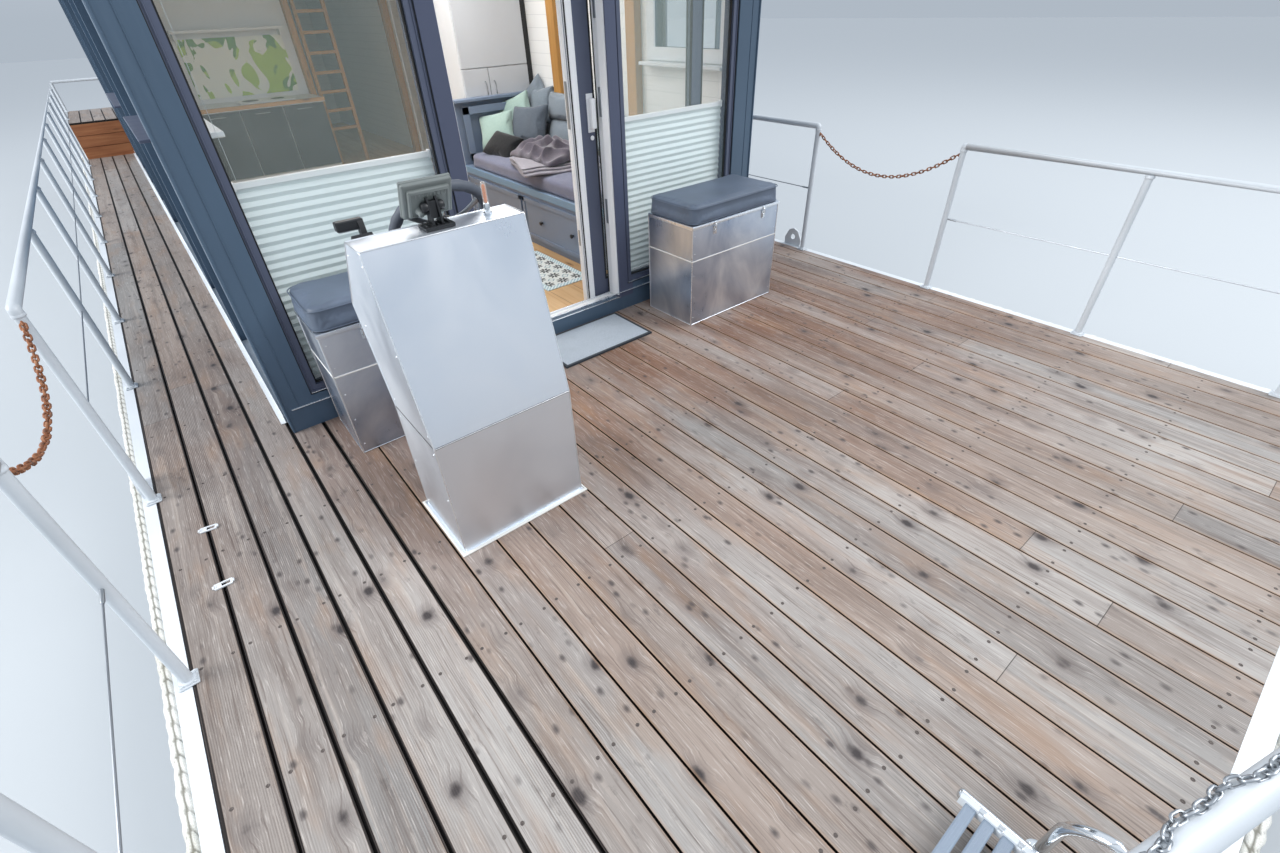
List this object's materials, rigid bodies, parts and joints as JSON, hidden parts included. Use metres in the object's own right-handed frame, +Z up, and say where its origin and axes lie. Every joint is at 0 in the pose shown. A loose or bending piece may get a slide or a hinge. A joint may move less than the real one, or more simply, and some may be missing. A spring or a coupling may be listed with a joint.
{
  "type": "houseboat",
  "caption": "Blue cabin houseboat on long floats, with a railed plank deck, helm console, cushioned lockers, sliding glass door, raised stern deck and outboard motor.",
  "frame": {"origin": "middle of the whole boat's plan, at the bottom of the floats", "axes": "+X forward to the bow, +Y to port, +Z up; the waterline is at z 0.43 m"},
  "size_m": [16.1063, 4.7526, 3.5003],
  "materials": {
    "hull_paint": "semi-gloss blue-grey",
    "cabin_paint": "satin blue",
    "window_paint": "satin grey lavender",
    "white_metal": "semi-gloss white",
    "deck_wood": "weathered",
    "stern_wood": "oiled",
    "floor_wood": "satin",
    "rope": "twisted fibre",
    "aluminium": "brushed",
    "glazing": "clear",
    "blind_cloth": "plain weave",
    "cushion_vinyl": "soft satin",
    "display_plastic": "satin",
    "black_plastic": "satin",
    "chain_iron": "rusty",
    "steel": "polished",
    "propeller_metal": "satin",
    "mat_rubber": "ribbed",
    "bed_paint": "satin paint",
    "mattress_cloth": "soft weave",
    "white_board": "satin paint"
  },
  "bodies": {
    "boat": {"float_starboard": "hull_paint", "float_port": "hull_paint", "cabin_wall_starboard": "cabin_paint", "cabin_wall_port": "cabin_paint", "cabin_wall_aft": "cabin_paint", "cabin_front": "cabin_paint", "cabin_roof": "cabin_paint", "front_casing_starboard": "window_paint", "front_casing_port": "window_paint", "deck_frame": "white_metal", "deck_frame_aft": "white_metal", "transom_bracket": "white_metal", "rail_fore_starboard": "white_metal", "rail_fore_port": "white_metal", "rail_aft_starboard": "white_metal", "rail_aft_port": "white_metal", "rail_stern": "white_metal", "deck_fore": "deck_wood", "deck_side_starboard": "deck_wood", "deck_side_port": "deck_wood", "stern_deck": "deck_wood", "stern_step": "stern_wood", "stern_frame": "stern_wood", "cabin_floor": "floor_wood", "rope_fender": "rope", "console": "aluminium", "locker_starboard": "aluminium", "locker_port": "aluminium", "front_glass_starboard": "glazing", "front_glass_port": "glazing", "aft_glass": "glazing", "side_glass_starboard_1": "glazing", "side_glass_starboard_2": "glazing", "side_glass_port_1": "glazing", "side_glass_port_2": "glazing", "blind_starboard": "blind_cloth", "blind_port": "blind_cloth", "display": "display_plastic", "throttle": "black_plastic", "chain_starboard": "chain_iron", "chain_port": "chain_iron", "door_mat": "mat_rubber", "daybed": "bed_paint", "mattress": "mattress_cloth", "partition": "white_board", "cabinet": "white_board", "kitchen_counter": "white_board"},
    "door": {"door_leaf": "window_paint", "door_glass": "glazing"},
    "lid_starboard": {"locker_lid_starboard": "aluminium", "locker_cushion_starboard": "cushion_vinyl"},
    "lid_port": {"locker_lid_port": "aluminium", "locker_cushion_port": "cushion_vinyl"},
    "ladder": {"boarding_ladder": "steel"},
    "swivel": {"outboard_swivel": "black_plastic"},
    "motor": {"outboard_leg": "black_plastic", "outboard_cowl": "black_plastic"},
    "screw": {"propeller": "propeller_metal"},
    "helm": {"helm_wheel": "black_plastic"},
    "gate": {"bow_gate": "white_metal"}
  },
  "joints": [
    {"name": "door_slide", "type": "slide", "parent": "boat", "child": "door", "axis": [0, 1, 0], "range_m": [-0.775, 0]},
    {"name": "locker_lid_starboard_hinge", "type": "hinge", "parent": "boat", "child": "lid_starboard", "pos_m": [4.515, -1.068, 1.6623], "axis": [0, -1, 0], "range_deg": [0, 40]},
    {"name": "locker_lid_port_hinge", "type": "hinge", "parent": "boat", "child": "lid_port", "pos_m": [4.568, 1.026, 1.6623], "axis": [0, -1, 0], "range_deg": [0, 80]},
    {"name": "ladder_fold", "type": "hinge", "parent": "boat", "child": "ladder", "pos_m": [8.031, -0.937, 1.1], "axis": [0, 1, 0], "range_deg": [0, 250]},
    {"name": "bow_gate_hinge", "type": "hinge", "parent": "boat", "child": "gate", "pos_m": [7.931, -0.2, 1.6], "axis": [0, 0, 1], "range_deg": [-70, 16.7]},
    {"name": "outboard_tilt", "type": "hinge", "parent": "boat", "child": "swivel", "pos_m": [-7.719, 0, 0.8], "axis": [0, 1, 0], "range_deg": [0, 60]},
    {"name": "outboard_steer", "type": "hinge", "parent": "swivel", "child": "motor", "pos_m": [-7.759, 0, 0.7], "axis": [0, 0, 1], "range_deg": [-35, 35]},
    {"name": "propeller_spin", "type": "hinge", "parent": "motor", "child": "screw", "pos_m": [-8.019, 0, 0.17], "axis": [1, 0, 0], "continuous": true},
    {"name": "helm_turn", "type": "hinge", "parent": "boat", "child": "helm", "pos_m": [5.32046, -0.973, 2.14444], "axis": [-0.8054, 0, 0.5927], "range_deg": [-540, 540]}
  ],
  "couplings": [
    {"joint": "helm_turn", "follows": "outboard_steer", "ratio": -15.4}
  ]
}
